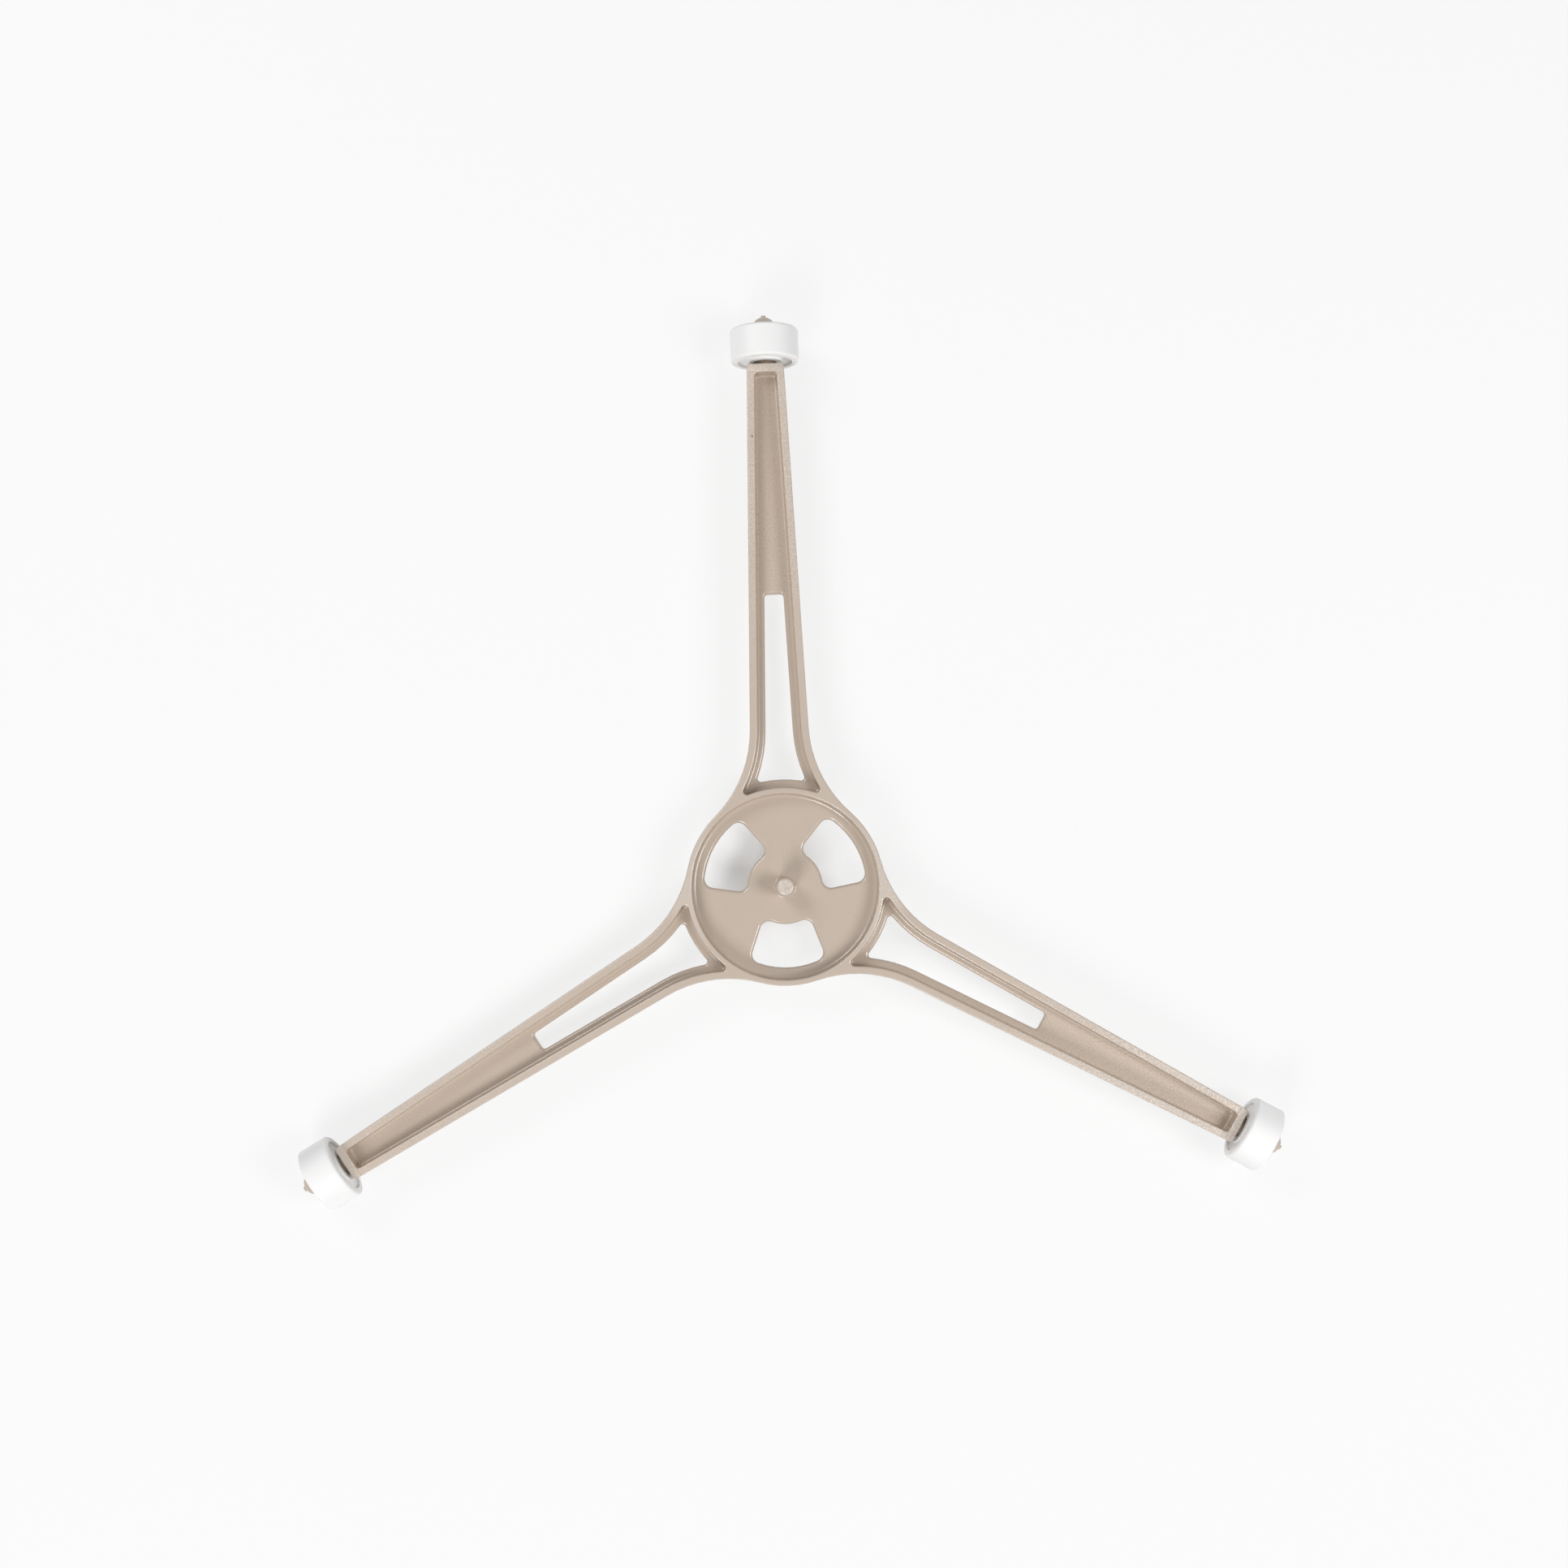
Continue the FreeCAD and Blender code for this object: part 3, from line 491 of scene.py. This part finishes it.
def pale_floor(stage):
    """Matt white that takes the shadows, whitened where it is looked at."""
    material = bpy.data.materials.new("pale_floor")
    sheet = NodeSheet(material)
    matt = sheet.add("ShaderNodeBsdfDiffuse", {}, {"Color": colour(stage.floor_colour)})
    white = sheet.add("ShaderNodeEmission", {}, {"Color": WHITE, "Strength": FLOOR_BRIGHTNESS})
    place = sheet.place()
    shifted = sheet.add("ShaderNodeVectorMath", {"operation": "SUBTRACT"}, {0: place, 1: SHADE_CENTRE})
    away = sheet.reach(shifted).rise(*SHADE_EDGE)
    far = sheet.reach(place).rise(*FLOOR_WHITENS)
    glow = stage.hub_glow + (stage.floor_glow - stage.hub_glow) * away + (1.0 - stage.floor_glow) * far
    share = seen_directly(sheet) * glow
    surface = sheet.add("ShaderNodeMixShader", {}, {"Fac": share, 1: matt, 2: white})
    sheet.add("ShaderNodeOutputMaterial", {}, {"Surface": surface})
    return material


# Stage

def lay_floor(stage):
    """A square floor at the level on which the wheels stand."""
    half = stage.floor_size / 2
    outline = ((-half, -half), (half, -half), (half, half), (-half, half))
    corners = [(x, y, FLOOR_LEVEL) for x, y in outline]
    mesh = bpy.data.meshes.new("floor")
    mesh.from_pydata(corners, [], [(0, 1, 2, 3)])
    mesh.materials.append(pale_floor(stage))
    floor = bpy.data.objects.new("floor", mesh)
    bpy.context.scene.collection.objects.link(floor)


def hang_lamp(stage, name, power, turn, height):
    """One soft lamp, aimed at the hub."""
    flat = math.cos(height)
    way = Vector((math.cos(turn) * flat, math.sin(turn) * flat, math.sin(height)))
    light = bpy.data.lights.new(name, "AREA")
    light.shape = "SQUARE"
    light.size = stage.lamp_size
    light.energy = power
    lamp = bpy.data.objects.new(name, light)
    lamp.location = way * stage.lamp_distance
    lamp.rotation_euler = way.to_track_quat("Z", "Y").to_euler()
    bpy.context.scene.collection.objects.link(lamp)


def fill_world(stage):
    """Even light from all round, and a white backdrop."""
    world = bpy.data.worlds.new("studio")
    sheet = NodeSheet(world)
    seen = seen_directly(sheet)
    light = sheet.add("ShaderNodeBackground", {}, {"Color": WHITE, "Strength": stage.sky})
    white = sheet.add("ShaderNodeBackground", {}, {"Color": WHITE, "Strength": 1.0})
    surface = sheet.add("ShaderNodeMixShader", {}, {"Fac": seen, 1: light, 2: white})
    sheet.add("ShaderNodeOutputWorld", {}, {"Surface": surface})
    bpy.context.scene.world = world


def stand_camera(stage):
    """The camera, looking down on the part."""
    lens = bpy.data.cameras.new("camera")
    lens.sensor_width = SENSOR_WIDTH
    lens.lens = stage.camera_lens
    lens.shift_x, lens.shift_y = stage.camera_shift
    lens.clip_start = NEAREST_SEEN
    camera = bpy.data.objects.new("camera", lens)
    camera.location = stage.camera_place
    camera.rotation_euler = stage.camera_turn
    bpy.context.scene.collection.objects.link(camera)
    bpy.context.scene.camera = camera


# Operators

class ROLLER_RING_OT_dress_carrier(bpy.types.Operator):
    """Gives the carrier its beige moulded plastic"""

    bl_idname = "roller_ring.dress_carrier"
    bl_label = "Dress Carrier"

    def execute(self, context):
        dress(CARRIER, beige_plastic(context.scene.roller_ring_carrier))
        return {"FINISHED"}


class ROLLER_RING_OT_dress_wheels(bpy.types.Operator):
    """Gives the three wheels their white moulded plastic"""

    bl_idname = "roller_ring.dress_wheels"
    bl_label = "Dress Wheels"

    def execute(self, context):
        material = white_plastic(context.scene.roller_ring_wheels)
        for wheel in WHEELS:
            dress(wheel, material)
        return {"FINISHED"}


class ROLLER_RING_OT_set_stage(bpy.types.Operator):
    """Lays the floor, hangs the lamps and stands the camera"""

    bl_idname = "roller_ring.set_stage"
    bl_label = "Set Stage"

    def execute(self, context):
        stage = context.scene.roller_ring_stage
        lay_floor(stage)
        hang_lamp(stage, "lamp_right", stage.right_power, stage.right_turn, stage.right_height)
        hang_lamp(stage, "lamp_near_left", stage.near_power, stage.near_turn, stage.near_height)
        hang_lamp(stage, "lamp_far_left", stage.far_power, stage.far_turn, stage.far_height)
        fill_world(stage)
        stand_camera(stage)
        context.scene.view_settings.view_transform = "Standard"
        return {"FINISHED"}


class ROLLER_RING_PT_sidebar(bpy.types.Panel):
    """The steps and settings of the roller ring"""

    bl_idname = "ROLLER_RING_PT_sidebar"
    bl_label = "Roller Ring"
    bl_space_type = "VIEW_3D"
    bl_region_type = "UI"
    bl_category = "Roller Ring"

    def draw(self, context):
        for operator, settings in STEPS:
            box = self.layout.box()
            box.operator(operator.bl_idname)
            group = getattr(context.scene, settings)
            for name in group.__annotations__:
                box.prop(group, name)


STEPS = (
    (ROLLER_RING_OT_dress_carrier, "roller_ring_carrier"),
    (ROLLER_RING_OT_dress_wheels, "roller_ring_wheels"),
    (ROLLER_RING_OT_set_stage, "roller_ring_stage"),
)
GROUPS = {
    "roller_ring_carrier": CarrierFinish,
    "roller_ring_wheels": WheelFinish,
    "roller_ring_stage": StageSettings,
}


def register():
    """Adds the settings, steps and panel to Blender."""
    for name, group in GROUPS.items():
        bpy.utils.register_class(group)
        setattr(bpy.types.Scene, name, bpy.props.PointerProperty(type=group))
    for operator, _ in STEPS:
        bpy.utils.register_class(operator)
    bpy.utils.register_class(ROLLER_RING_PT_sidebar)


def unregister():
    """Takes them out again."""
    bpy.utils.unregister_class(ROLLER_RING_PT_sidebar)
    for operator, _ in reversed(STEPS):
        bpy.utils.unregister_class(operator)
    for name, group in reversed(GROUPS.items()):
        delattr(bpy.types.Scene, name)
        bpy.utils.unregister_class(group)


def main():
    """Runs every step in order."""
    register()
    bpy.ops.roller_ring.dress_carrier()
    bpy.ops.roller_ring.dress_wheels()
    bpy.ops.roller_ring.set_stage()


if __name__ == "__main__":
    main()
